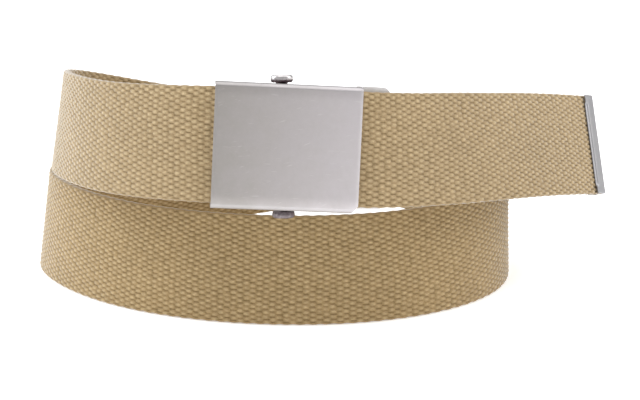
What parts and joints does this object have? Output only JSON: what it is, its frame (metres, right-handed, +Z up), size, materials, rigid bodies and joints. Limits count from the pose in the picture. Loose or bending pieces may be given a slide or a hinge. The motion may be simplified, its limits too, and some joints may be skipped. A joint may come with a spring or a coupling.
{
  "type": "webbing belt with slide buckle",
  "caption": "Khaki webbing belt with a plain metal sliding-bar buckle and metal tip, fastened and standing on its lower edge in a loose double coil.",
  "frame": {"origin": "middle of the coiled belt's outline, on the surface that its lower edge stands on", "axes": "+X to the right as one looks at the buckle's face, toward the strap's free end; +Y from the buckle to the back of the coil; +Z up"},
  "size_m": [0.2168, 0.165, 0.0892],
  "materials": {
    "webbing": "matt woven cotton, khaki",
    "satin_nickel": "satin nickel plate on steel sheet, lightly tarnished",
    "pin_steel": "plain steel wire"
  },
  "bodies": {
    "root": {"strap": "webbing", "buckle_frame": "satin_nickel", "slide_bar": "satin_nickel", "clamp": "satin_nickel", "hinge_pin": "pin_steel", "end_tip": "satin_nickel"}
  },
  "joints": []
}
